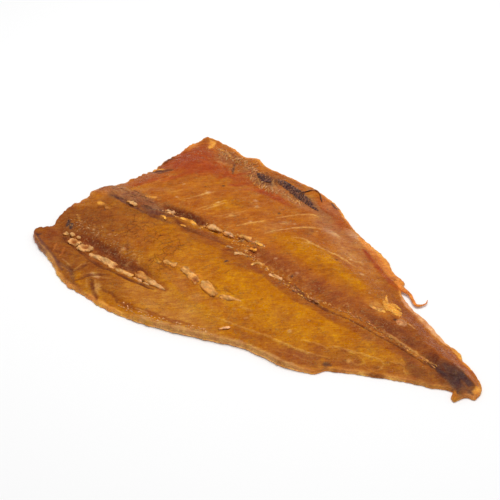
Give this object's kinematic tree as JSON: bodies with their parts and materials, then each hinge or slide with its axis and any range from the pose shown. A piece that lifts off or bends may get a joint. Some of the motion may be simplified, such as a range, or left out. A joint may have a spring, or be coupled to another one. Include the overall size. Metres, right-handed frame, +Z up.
{
  "type": "smoked fish",
  "caption": "Headless smoked fish, split along the belly and opened flat, flesh side up with bone pieces set in it, tapering to a cut tail stub.",
  "frame": {"origin": "middle of the bounding box in plan, on the surface the fish lies on", "axes": "+X from the head cut to the tail along the backbone seam, +Y across the fish, +Z up out of the flesh side"},
  "size_m": [0.2464, 0.1492, 0.0103],
  "materials": {
    "flesh": "oily smoked flesh and skin, amber to red-brown, softly glossy",
    "bone": "tan bone, satin"
  },
  "bodies": {
    "root": {"flesh": "flesh", "bone_outer_1": "bone", "bone_outer_2": "bone", "bone_outer_3": "bone", "bone_outer_4": "bone", "bone_outer_5": "bone", "bone_inner_1": "bone", "bone_inner_2": "bone", "bone_inner_3": "bone"}
  },
  "joints": []
}
